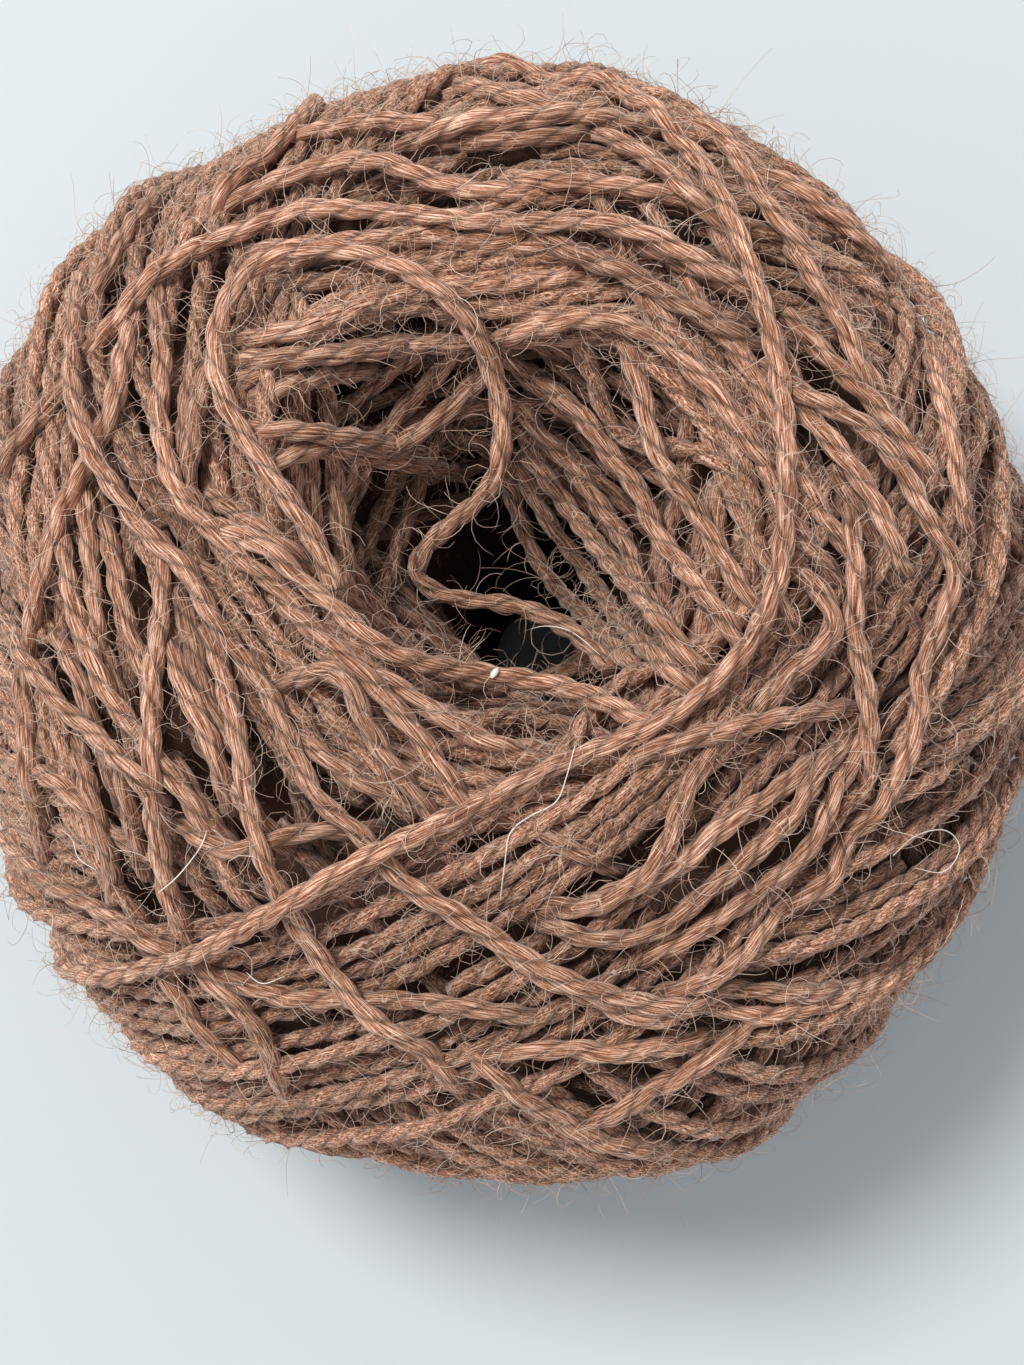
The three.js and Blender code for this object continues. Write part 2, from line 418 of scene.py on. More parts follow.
# Turns of the inner layers, spread evenly round the ball
UNDER_TURNS = 46
UNDER_SIDE_STEP = 137.5
UNDER_CLEAR_STEP = 0.618


def wind_turns(ball):
    for k in range(UNDER_TURNS):
        side = UNDER_SIDE_STEP * k + rng.normal() * 8
        clear = 14 + 28 * ((k * UNDER_CLEAR_STEP) % 1)
        ball.lay(turn_rays(side, clear, 0, 1.0), True, "under")
    for swath in SWATHS:
        low, high = swath["clear"]
        for share in np.linspace(-0.5, 0.5, swath["turns"]):
            side = swath["side"] + swath["fan"] * share + rng.normal() * 1.2
            offset = (high - low) * share + rng.normal() * 0.3
            ball.lay(turn_rays(side, (low + high) / 2, offset, swath["slip"]), True, "turns")


# Swaths of the earlier layers that show inside the funnel, from the deepest up
CHORDS = [
    dict(side=20, clear=(7.3, 9.4), turns=3, fan=14),
    dict(side=200, clear=(7.3, 9.9), turns=3, fan=-14),
    dict(side=110, clear=(7.3, 10.5), turns=4, fan=16),
    dict(side=300, clear=(7.3, 8.9), turns=3, fan=20),
    dict(side=230, clear=(7.3, 9.9), turns=3, fan=20),
    dict(side=46, clear=(6.2, 11), turns=5, fan=6),
    dict(side=160, clear=(8.9, 13.1), turns=4, fan=10),
    dict(side=255, clear=(8.9, 11.5), turns=3, fan=10),
    dict(side=98, clear=(10.5, 16.3), turns=5, fan=-8),
    dict(side=350, clear=(9.9, 18.4), turns=5, fan=12),
    dict(side=215, clear=(9.9, 15.2), turns=5, fan=8),
    dict(side=135, clear=(12.1, 20.5), turns=5, fan=10),
    dict(side=46, clear=(10.5, 18.4), turns=7, fan=-8),
    dict(side=268, clear=(11, 16.3), turns=5, fan=6),
    dict(side=185, clear=(12.1, 20.5), turns=7, fan=8),
    dict(side=95, clear=(14.2, 21.6), turns=6, fan=8),
    dict(side=318, clear=(12.1, 19.5), turns=5, fan=-8),
    dict(side=240, clear=(13.1, 20.5), turns=6, fan=6),
    dict(side=28, clear=(15.2, 21.6), turns=4, fan=8),
]


def wind_funnel(ball):
    for swath in CHORDS:
        for clear in np.linspace(*swath["clear"], swath["turns"]):
            share = rng.random() - 0.5
            a = math.radians(swath["side"] + swath["fan"] * share + rng.normal() * 2)
            height = np.interp(clear, WALL_CLEAR, WALL_HEIGHT) - 1.0
            along = np.arange(-19.0, 19.0, 0.9)
            way = np.array([math.cos(a), math.sin(a)])
            across = np.array([-way[1], way[0]])
            off = clear + waver(len(along), 0.5, 3, False)
            flat = HOLE + off[:, None] * way + along[:, None] * across
            points = np.column_stack([flat, height - along**2 / 60.0])
            rays = unit(points - CAMERA_PLACE)
            need = np.maximum(-np.linalg.norm(points - CAMERA_PLACE, axis=1), ball.seen.look(points))
            points = pull_taut(CAMERA_PLACE, rays, need, -1, False, 40)
            ball.keep(smooth(points, 2, False), False, "funnel")


# Strands traced from the photo: pixels added at each end and between points, and depths in millimetres
TAIL = 22
ROUTE_STEP = 12
BURY = 2.4
TRACED_INSET = 4.0
TRACED_ROUNDS = 60
EDGE_HEIGHT = 52


def body_distance(rays, inset):
    """How far from the camera the wound body is along each ray."""
    far = rays @ (MIDDLE - CAMERA_PLACE)
    outside, inside = far - 70.0, far.copy()
    for _ in range(26):
        middle = (outside + inside) / 2
        offset = CAMERA_PLACE + rays * middle[:, None] - MIDDLE
        deep = np.linalg.norm(offset, axis=1) < hull(unit(offset), inset)
        inside = np.where(deep, middle, inside)
        outside = np.where(deep, outside, middle)
    for _ in range(14):
        place = CAMERA_PLACE + rays * inside[:, None]
        clear = np.hypot(*(place[:, :2] - HOLE).T)
        height = np.interp(clear, WALL_CLEAR, WALL_HEIGHT) - inset
        wall = (CAMERA_PLACE[2] - height) / -rays[:, 2]
        inside = np.where((clear < 21) & (place[:, 2] > 20), 0.5 * inside + 0.5 * wall, inside)
    return inside


def trace(ball, route, run):
    """Lays a strand along a route of pixels, on top of what is there. run winds both ends on round the
    ball. Without it the ends dive between the strands next to them."""
    route = np.array(route, dtype=float)
    has_heights = route.shape[1] == 3
    if not has_heights:
        if not run:
            first = route[0] + TAIL * unit(route[0] - route[1])
            last = route[-1] + TAIL * unit(route[-1] - route[-2])
            route = np.vstack([first[None], route, last[None]])
        route = np.column_stack([route, np.zeros(len(route))])
    line = resample(route, False, ROUTE_STEP)
    rays = photo_rays(line[:, :2])
    if has_heights:
        base = -(CAMERA_PLACE[2] - line[:, 2]) / -rays[:, 2]
    else:
        base = -body_distance(rays, TRACED_INSET)
    place = CAMERA_PLACE + rays * -base[:, None]
    need = np.maximum(base, ball.seen.look(place))
    if not run:
        dive = np.maximum(0, 1 - np.arange(len(line)) / 4.0) ** 2 * BURY
        need -= dive
        need -= dive[::-1]
    points = pull_taut(CAMERA_PLACE, rays, need, -1, False, TRACED_ROUNDS)
    if run:
        points = wind_on(ball, points, run)
        points = wind_on(ball, points[::-1], run)[::-1]
    points = hold_to_ball(ball, points)
    ball.keep(smooth(points, 3, False), False, "traced")


def hold_to_ball(ball, points):
    """Draws a strand in where it would stand off the ball beyond the edge that the camera sees."""
    offset = points - MIDDLE
    rays, far = unit(offset), np.linalg.norm(offset, axis=1)
    top = np.maximum(hull(rays, 1.5), ball.ground.look(rays)) + 0.2
    outer = points[:, 2] < EDGE_HEIGHT
    return MIDDLE + rays * np.where(outer, np.minimum(far, top), far)[:, None]


def wind_on(ball, points, run):
    """Carries a strand on round the ball from its last point."""
    rays = unit(points[-4:] - MIDDLE)
    axis = unit(np.cross(rays[0], rays[-1]))
    count = int(run / 1.2)
    angle = (np.arange(1, count + 1) * 1.2 / 38.0)[:, None]
    last = rays[-1]
    onward = np.cos(angle) * last + np.sin(angle) * np.cross(axis, last)
    far = np.maximum(hull(onward, 4.0), ball.ground.look(onward))
    gap = np.linalg.norm(points[-1] - MIDDLE) - far[0]
    far += gap * np.exp(-np.arange(count) / 3.0)
    far -= np.maximum(0, 1 - np.arange(count)[::-1] / 5.0) * 3.0
    return np.vstack([points, pull_taut(MIDDLE, onward, far, 1, False, 20)])


# Strands laid by the photo's pixels, from the lowest up. The first nine are guesses that fill gaps, and
# the rest are strands that show. Third figures, where there are any, are heights over the floor.
TRACED = {
    "right_8": [(775, 215), (812, 262), (840, 310), (862, 360), (880, 400)],
    "right_9": [(800, 330), (838, 368), (872, 400), (905, 440), (930, 475)],
    "right_10": [(795, 400), (830, 440), (862, 480), (885, 520), (900, 560)],
    "top_11": [(430, 142), (480, 143), (530, 138), (590, 132)],
    "top_12": [(520, 180), (580, 182), (650, 190), (700, 205)],
    "left_22": [(178, 590), (192, 640), (203, 690), (226, 735), (250, 765)],
    "left_23": [(100, 640), (120, 700), (140, 760), (150, 800)],
    "left_24": [(205, 745), (238, 790), (262, 826), (292, 850)],
    "left_25": [(60, 640), (84, 690), (98, 740), (120, 800)],
    "top_1": [(480, 90), (520, 97), (563, 113), (607, 117), (647, 127)],
    "top_2": [(480, 127), (510, 120), (537, 117), (580, 110)],
    "top_3": [(393, 150), (430, 137), (463, 120), (500, 117)],
    "top_4": [(297, 133), (333, 127), (377, 120), (417, 123)],
    "top_5": [(607, 137), (630, 147), (657, 163), (680, 183), (693, 197), (713, 217)],
    "top_6": [(233, 203), (267, 183), (310, 170), (350, 160), (393, 163), (427, 180), (467, 190),
        (513, 193)],
    "top_7": [(547, 223), (590, 220), (620, 230), (667, 257), (713, 277), (740, 293)],
    "top_8": [(547, 240), (590, 260), (630, 273), (667, 297), (707, 317), (747, 340)],
    "top_9": [(220, 200), (233, 173), (253, 157), (277, 137), (300, 117)],
    "edge_3": [(97, 287), (107, 267), (123, 233), (143, 210)],
    "right_1": [(713, 130), (757, 153), (790, 180), (827, 210), (857, 230), (880, 260)],
    "right_2": [(733, 153), (757, 187), (773, 213), (800, 243)],
    "right_3": [(803, 263), (830, 303), (850, 340), (863, 377)],
    "right_4": [(933, 363), (947, 413), (960, 473), (963, 513)],
    "right_5": [(850, 520), (857, 570), (853, 620), (863, 670), (870, 720), (867, 770)],
    "inside_1": [(277, 390), (317, 377), (360, 372)],
    "inside_2": [(253, 360), (300, 357), (350, 353), (400, 347)],
    "inside_3": [(247, 340), (283, 333), (317, 327)],
    "inside_4": [(280, 460), (317, 447), (353, 453), (400, 463), (443, 470)],
    "inside_5": [(257, 430), (290, 430), (320, 433), (367, 440), (397, 447)],
    "wall_1": [(520, 407), (547, 443), (577, 470), (597, 503), (625, 540), (640, 587), (667, 630),
        (693, 663)],
    "wall_2": [(500, 450), (520, 520), (537, 560), (560, 593), (590, 620), (620, 653)],
    "wall_3": [(520, 470), (547, 520), (567, 547), (590, 577), (613, 613), (640, 643), (667, 667),
        (693, 690)],
    "wall_4": [(540, 470), (577, 520), (600, 550), (647, 607), (673, 637), (700, 670)],
    "wall_5": [(543, 383), (580, 413), (613, 460), (640, 490), (653, 530), (680, 563), (707, 597),
        (733, 630), (743, 653)],
    "wall_6": [(627, 350), (640, 383), (647, 423), (660, 463), (687, 497), (707, 530), (725, 560),
        (740, 587), (760, 613)],
    "wall_7": [(500, 340), (523, 330), (557, 323), (590, 317), (620, 323), (660, 340), (680, 360),
        (713, 390), (740, 430), (763, 460)],
    "top_10": [(100, 340), (120, 317), (140, 287), (160, 267), (187, 253), (213, 240), (240, 232),
        (267, 222), (290, 213), (317, 207), (350, 210), (397, 213), (430, 215), (467, 220), (500, 222),
        (560, 222), (600, 220), (650, 235), (700, 262), (745, 290)],
    "left_1": [(130, 330), (124, 348), (118, 383), (112, 412), (95, 445), (82, 475), (64, 503),
        (50, 544), (41, 580), (32, 612), (30, 637)],
    "left_13": [(105, 521), (114, 562), (123, 612), (136, 653), (150, 685), (155, 720)],
    "left_14": [(86, 507), (91, 566), (95, 612), (100, 650)],
    "left_15": [(173, 648), (182, 685), (200, 721), (214, 748), (225, 790)],
    "left_16": [(173, 757), (191, 789), (209, 816), (235, 850)],
    "left_17": [(206, 377), (194, 412), (192, 442), (188, 477)],
    "left_18": [(295, 735), (336, 766), (364, 785), (386, 794)],
    "left_19": [(182, 825), (209, 844), (236, 853), (273, 839), (318, 830), (364, 830)],
    "left_20": [(36, 771), (68, 789), (91, 816), (136, 848), (170, 868)],
    "left_21": [(64, 548), (68, 580), (77, 621), (91, 657), (109, 698), (132, 725), (155, 757),
        (182, 789), (200, 816)],
    "left_2": [(17, 680), (20, 720), (23, 760), (30, 803), (40, 837)],
    "left_3": [(77, 753), (87, 787), (97, 820), (103, 853), (110, 880)],
    "left_4": [(123, 773), (130, 813), (140, 853)],
    "left_5": [(157, 303), (160, 340), (163, 373), (157, 407), (163, 440), (170, 478), (191, 512),
        (214, 530), (245, 562), (282, 589), (318, 630), (359, 657), (395, 685)],
    "rim_6": [(227, 507), (268, 535), (300, 557), (327, 585), (364, 616), (395, 648)],
    "left_6": [(163, 553), (160, 620), (153, 660), (152, 703), (150, 753), (152, 803), (160, 853),
        (170, 903), (190, 943)],
    "near_1": [(213, 973), (253, 990), (290, 1003), (400, 1000), (520, 1015)],
    "near_2": [(167, 980), (187, 1013), (207, 1043), (230, 1067)],
    "near_3": [(207, 977), (227, 1003), (247, 1033), (263, 1060), (277, 1080)],
    "near_4": [(480, 1060), (510, 1093), (547, 1120), (590, 1143), (647, 1150)],
    "near_5": [(507, 1053), (563, 1050), (613, 1057), (667, 1053), (697, 1040)],
    "near_6": [(607, 1120), (640, 1107), (680, 1087), (707, 1060), (733, 1040), (757, 1013)],
    "near_7": [(480, 930), (507, 950), (547, 980), (590, 993), (630, 1017), (680, 1020), (730, 1023),
        (780, 1017), (827, 1003), (863, 987)],
    "left_7": [(17, 853), (40, 877), (67, 897), (93, 913), (120, 923), (147, 943), (173, 953)],
    "rim_1": [(333, 653), (360, 667), (393, 683), (427, 707), (467, 733), (510, 750)],
    "rim_2": [(293, 613), (320, 637), (347, 660), (377, 687), (393, 707), (417, 733), (440, 767),
        (460, 797)],
    "rim_3": [(353, 633), (380, 650), (410, 660), (450, 677), (483, 687)],
    "rim_4": [(233, 533), (260, 543), (283, 560), (307, 587), (340, 610), (367, 637), (400, 657),
        (450, 668), (480, 673), (530, 680), (563, 687), (593, 697), (620, 710), (653, 727)],
    "rim_5": [(287, 683), (320, 670), (345, 672), (353, 693), (367, 727), (383, 753), (407, 783),
        (430, 813)],
    "low_1": [(857, 753), (833, 793), (817, 840), (790, 867), (763, 887), (733, 910), (697, 933),
        (653, 953)],
    "low_2": [(840, 747), (817, 773), (800, 807), (780, 830), (760, 847), (733, 873), (707, 890),
        (680, 917), (640, 937), (590, 940), (547, 923)],
    "low_3": [(797, 773), (767, 800), (733, 820), (707, 840), (680, 867), (653, 877), (600, 900)],
    "low_4": [(735, 725), (713, 747), (693, 780), (680, 810), (667, 847), (647, 877), (620, 893),
        (590, 910), (557, 907)],
    "low_5": [(830, 710), (780, 717), (740, 727), (697, 737), (640, 755)],
    "right_6": [(800, 573), (827, 597), (837, 630), (817, 653), (790, 670), (773, 693)],
    "right_7": [(780, 380), (800, 393), (853, 417), (887, 447), (910, 483), (930, 523), (950, 550),
        (958, 575), (947, 603), (937, 653), (923, 707), (910, 753), (900, 797), (877, 840), (843, 873),
        (813, 897), (780, 927), (747, 957), (707, 983), (663, 993)],
    "left_8": [(0, 453), (20, 433), (43, 410), (60, 393)],
    "left_10": [(0, 627), (17, 653), (40, 680), (60, 707), (87, 727), (110, 750), (133, 773),
        (147, 787)],
    "left_11": [(207, 630), (217, 653), (227, 693), (237, 733), (243, 773), (248, 807), (257, 840),
        (267, 873), (280, 890), (290, 917), (307, 940), (323, 963), (343, 987), (363, 1013),
        (393, 1033), (423, 1060), (450, 1080)],
    "left_12": [(77, 300), (72, 345), (72, 390), (85, 440), (110, 483), (153, 540), (187, 567),
        (203, 603), (227, 637), (250, 667), (273, 700), (287, 737), (303, 770), (317, 800), (360, 833),
        (400, 880), (467, 920), (520, 955), (590, 990), (700, 1010), (830, 990)],
    "inside_6": [(477, 380), (450, 410), (423, 430), (403, 443)],
    "long_arc": [(545, 47), (600, 62), (650, 100), (700, 160), (735, 225), (762, 300), (780, 380),
        (787, 450), (786, 520), (775, 590), (745, 650), (700, 695), (650, 728), (600, 748), (540, 772),
        (470, 810), (400, 842), (330, 878), (270, 915), (215, 945), (160, 968), (100, 980), (60, 975)],
    "slack_loop": [(335, 590, 44), (325, 560, 47), (290, 500, 52), (245, 440, 56), (215, 370, 58),
        (225, 300, 58), (270, 255, 58), (330, 248, 58), (390, 262, 58), (445, 295, 57), (480, 340, 56),
        (498, 390, 54), (503, 440, 52), (490, 490, 51), (455, 520, 49), (425, 548, 46), (412, 572, 43),
        (430, 590, 42), (460, 600, 42), (507, 603, 42), (537, 613, 42), (567, 627, 40), (593, 647, 37),
        (610, 670, 34)],
}


# How far a strand goes on round the ball beyond both ends of its route
RUNS_ON = {"long_arc": 40}


def trace_photo(ball):
    for strand, route in TRACED.items():
        trace(ball, route, RUNS_ON.get(strand, 0))


def shown(ball, points):
    """Whether each point of a strand can show between the strands over it."""
    along = unit(np.gradient(points, axis=0))
    aside = np.cross(unit(points - MIDDLE), along)
    hidden = np.ones(len(points), dtype=bool)
    for shift in (-0.75, 0.0, 0.75):
        offset = points + shift * aside - MIDDLE
        hidden &= ball.ground.look(unit(offset)) - np.linalg.norm(offset, axis=1) - CONTACT > 0.75
    clear = np.hypot(*(points[:, :2] - HOLE).T)
    hidden &= ~((clear < 21) & (points[:, 2] > 25)) & ~((clear < 17) & (points[:, 2] < 20))
    return ~hidden


def cut_hidden(ball):
    """Leaves out the stretches of strands that lie under others."""
    margin = np.ones(7)
    kept = []
    for strand in ball.strands:
        points = resample(strand["points"], strand["closed"], 1.0)
        seen = shown(ball, points)
        if strand["closed"] and not seen.all():
            start = int(np.argmin(seen))
            points, seen = np.roll(points, -start, 0), np.roll(seen, -start)
        seen = np.convolve(seen, margin, "same") > 0.5
        if seen.all():
            kept.append(dict(strand, points=points))
            continue
        edges = np.flatnonzero(np.diff(np.concatenate([[0], seen.astype(int), [0]])))
        for first, last in zip(edges[::2], edges[1::2]):
            if last - first > 8:
                kept.append(dict(strand, points=points[first:last], closed=False))
    return kept


# Meshes

PLY_RADIUS = 0.54
PLY_APART = 0.215


def section(angle):
    """The radius of two plies side by side, at an angle from the line through both."""
    c, s = np.abs(np.cos(angle)), np.sin(angle)
    return PLY_APART * c + np.sqrt(PLY_RADIUS**2 - (PLY_APART * s) ** 2)


def strand_rings(strand, step, sides):
    """Rings of points round one strand, twisted as its two plies are."""
    points = resample(strand["points"], strand["closed"], step)
    if strand["closed"]:
        along = unit(np.roll(points, -1, 0) - np.roll(points, 1, 0))
    else:
        along = unit(np.gradient(points, axis=0))
    out = unit(points - MIDDLE)
    out = unit(out - np.einsum("ij,ij->i", out, along)[:, None] * along)
    aside = np.cross(along, out)
    length = np.arange(len(points)) * step
    turns = len(points) * step / (2 * PLY_HALF_TURN)
    if strand["closed"]:
        turns = round(turns)
    twist = -2 * math.pi * turns * np.arange(len(points)) / len(points)
    around = 2 * math.pi * np.arange(sides) / sides
    thick = (1 + 0.06 * np.sin(length / 6 + strand["start"])
             + 0.04 * np.sin(length / 2.3 + 2 * strand["start"]))
    angle = around[None, :] + twist[:, None]
    radius = section(around)[None, :] * thick[:, None]
    rings = (points[:, None, :] + (radius * np.cos(angle))[..., None] * out[:, None, :]
             + (radius * np.sin(angle))[..., None] * aside[:, None, :])
    return rings, angle, length, around


def exposure(ball, levels, points):
    """How far each point rises out of the winding round it, below nought in the gaps, and in the funnel a
    value that falls lower down. The wool material paints shade from it, darker where it is lower.
    """
    offset = points - MIDDLE
    gap_shade_height = np.linalg.norm(offset, axis=1) - ball.ground.find(unit(offset), levels)
    clear = np.hypot(*(points[:, :2] - HOLE).T)
    funnel = (clear < 20) & (points[:, 2] > 20)
    # Painted shade: down the funnel the value falls with height, so the wool there is painted darker
    # lower down
    funnel_shade = np.interp(points[:, 2], (15.0, 40.0, 56.0), (-5.0, -1.6, 0.2))
    return np.where(funnel, np.minimum(funnel_shade, 0.5), gap_shade_height)


def ring_faces(count, sides, closed, first):
    i = np.arange(count if closed else count - 1)[:, None]
    k = np.arange(sides)[None, :]
    j = (i + 1) % count
    corners = [i * sides + k, i * sides + (k + 1) % sides, j * sides + (k + 1) % sides, j * sides + k]
    return first + np.stack(corners, -1).reshape(-1, 4)


def make_mesh(name, points, quads, caps):
    mesh = bpy.data.meshes.new(name)
    loops = np.concatenate([quads.ravel(), *caps]).astype(np.int32)
    totals = np.concatenate([np.full(len(quads), 4), [len(c) for c in caps]]).astype(np.int32)
    mesh.vertices.add(len(points))
    mesh.vertices.foreach_set("co", (points * METRE).astype(np.float32).ravel())
    mesh.loops.add(len(loops))
    mesh.loops.foreach_set("vertex_index", loops)
    mesh.polygons.add(len(totals))
    starts = np.concatenate([[0], np.cumsum(totals)[:-1]])
    mesh.polygons.foreach_set("loop_start", starts.astype(np.int32))
    mesh.polygons.foreach_set("use_smooth", np.ones(len(totals), dtype=bool))
    mesh.update(calc_edges=True)
    return mesh


def add_bake_map(mesh, count, sides, caps, shape):
    """Lays the strips of faces out in rows for textures. shape is a face's width over its length."""
    segments = count // sides
    columns = int(math.sqrt(segments * (sides + 1) * shape)) + 1
    rows = -(-segments // columns)
    height = (rows - (-len(caps) // columns)) * (sides + 1)
    segment, side = np.divmod(np.arange(count), sides)
    row, column = np.divmod(segment, columns)
    across = [(column[:, None] + np.array([0, 0, 1, 1])).ravel()]
    upward = [(row[:, None] * (sides + 1) + side[:, None] + np.array([0, 1, 1, 0])).ravel()]
    for k, cap in enumerate(caps):
        row, column = divmod(k, columns)
        turn = 2 * math.pi * np.arange(len(cap)) / len(cap)
        across.append(column + 0.5 + 0.4 * np.cos(turn))
        upward.append((rows + row) * (sides + 1) + sides * (0.5 + 0.4 * np.sin(turn)))
    places = np.column_stack([np.concatenate(across) / columns, np.concatenate(upward) / height])
    mesh.uv_layers.new(name="OFBake").data.foreach_set("uv", places.astype(np.float32).ravel())


def add_piece(name, mesh, material):
    piece = bpy.data.objects.new(name, mesh)
    bpy.context.scene.collection.objects.link(piece)
    mesh.materials.append(material)
    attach(piece, "root")
    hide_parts("wound_yarn")
    return piece


def add_strands(ball, name, chosen, step, sides, material):
    points, quads, caps, fibre, ply, gap_shade_height = [], [], [], [], [], []
    levels = ball.ground.around()
    first = 0
    for strand in chosen:
        rings, angle, length, around = strand_rings(strand, step, sides)
        count = len(length)
        points.append(rings.reshape(-1, 3))
        quads.append(ring_faces(count, sides, strand["closed"], first))
        if not strand["closed"]:
            caps.append(first + np.arange(sides)[::-1])
            caps.append(first + (count - 1) * sides + np.arange(sides))
        run = np.broadcast_to(length[:, None] + strand["start"], angle.shape)
        fibre.append(np.stack([run, np.cos(angle), np.sin(angle)], -1).reshape(-1, 3))
        round_ply = np.broadcast_to(around[None, :], angle.shape)
        tone = np.full(angle.shape, strand["tone"])
        ply.append(np.stack([np.cos(round_ply), np.sin(round_ply), tone], -1).reshape(-1, 3))
        # Painted shade: how far each ring rises out of the winding, from which the material darkens the
        # gaps
        gap_shade_height.append(exposure(ball, levels, rings.mean(1)).repeat(sides))
        first += count * sides
    mesh = make_mesh(name, np.concatenate(points), np.concatenate(quads), caps)
    add_bake_map(mesh, sum(len(q) for q in quads), sides, caps, 4.2 / sides / step)
    # Painted shade: this attribute sets how much darker the wool is painted in the gaps and down the
    # funnel
    mesh.attributes.new("gap_shade_height", "FLOAT", "POINT").data.foreach_set(
        "value", np.concatenate(gap_shade_height).astype(np.float32))
    for attribute, values in (("fibre", fibre), ("ply", ply)):
        data = mesh.attributes.new(attribute, "FLOAT_VECTOR", "POINT").data
        data.foreach_set("vector", np.concatenate(values).astype(np.float32).ravel())
    return add_piece(name, mesh, material)


# Nodes of the materials


def new_material(name, roughness):
    material = bpy.data.materials.new(name)
    material.use_nodes = True
    tree = material.node_tree
    shader = tree.nodes["Principled BSDF"]
    shader.inputs["Roughness"].default_value = roughness
    return material, tree, shader


def plain_material(name, colour, roughness):
    material, _, shader = new_material(name, roughness)
    shader.inputs["Base Color"].default_value = colour
    return material


def attribute(tree, name):
    node = tree.nodes.new("ShaderNodeAttribute")
    node.attribute_name = name
    return node


def noise(tree, place, **settings):
    node = tree.nodes.new("ShaderNodeTexNoise")
    for name, value in settings.items():
        node.inputs[name].default_value = value
    tree.links.new(place, node.inputs["Vector"])
    return node.outputs["Fac"]


def mapped(tree, source, low, high, first=0.0, last=1.0):
    """A value that runs from first to last as the source runs from low to high."""
    node = tree.nodes.new("ShaderNodeMapRange")
    for name, value in (("From Min", low), ("From Max", high), ("To Min", first), ("To Max", last)):
        node.inputs[name].default_value = value
    tree.links.new(source, node.inputs["Value"])
    return node.outputs["Result"]


def calculate(tree, operation, *values):
    node = tree.nodes.new("ShaderNodeMath")
    node.operation = operation
    for socket, value in zip(node.inputs, values):
        if isinstance(value, (int, float)):
            socket.default_value = value
        else:
            tree.links.new(value, socket)
    return node.outputs[0]


def mixed(tree, share, first, last):
    """A colour between two, either of which is a colour or another node's output."""
    node = tree.nodes.new("ShaderNodeMix")
    node.data_type = "RGBA"
    tree.links.new(share, node.inputs["Factor"])
    for name, value in (("A", first), ("B", last)):
        if isinstance(value, tuple):
            node.inputs[name].default_value = value
        else:
            tree.links.new(value, node.inputs[name])
    return node.outputs["Result"]


# Loose fibres: short curly ones that lie over the strands, and some that stand off the ball
FUZZ_STEPS = 6
FUZZ_PIECES = 3
FUZZ_HAIRS = 5200
FUZZ_KINDS = [
    dict(kind="lying", share=0.70, length=(1.6, 5.5), bend=(0.15, 1.1), rise=0.35, pull=0.7),
    dict(kind="looping", share=0.20, length=(3.0, 6.5), bend=(0.5, 1.2), rise=0.7, pull=0.4),
    dict(kind="standing", share=0.10, length=(2.5, 7.0), bend=(0.1, 0.7), rise=1.6, pull=0.0),
]


def fuzz_roots(ball, count):
    """Places on the strands' outer sides, with the way along and out of the strand at each."""
    places, alongs = [], []
    for strand in ball.strands:
        if strand["group"] == "under":
            continue
        points = resample(strand["points"], strand["closed"], 0.5)
        places.append(points)
        alongs.append(unit(np.gradient(points, axis=0)))
    places, alongs = np.concatenate(places), np.concatenate(alongs)
    offset = places - MIDDLE
    cover = ball.ground.look(unit(offset)) - np.linalg.norm(offset, axis=1) - CONTACT
    inside = (np.hypot(*(places[:, :2] - HOLE).T) < 19) & (places[:, 2] > 34)
    weight = np.where(inside | (cover < 0.9), 1.0, 0.12)
    weight = weight * np.interp(places[:, 2], (5, 20, 35), (0.15, 0.3, 1.0))
    chosen = rng.choice(len(places), count, p=weight / weight.sum())
    return places[chosen], alongs[chosen]


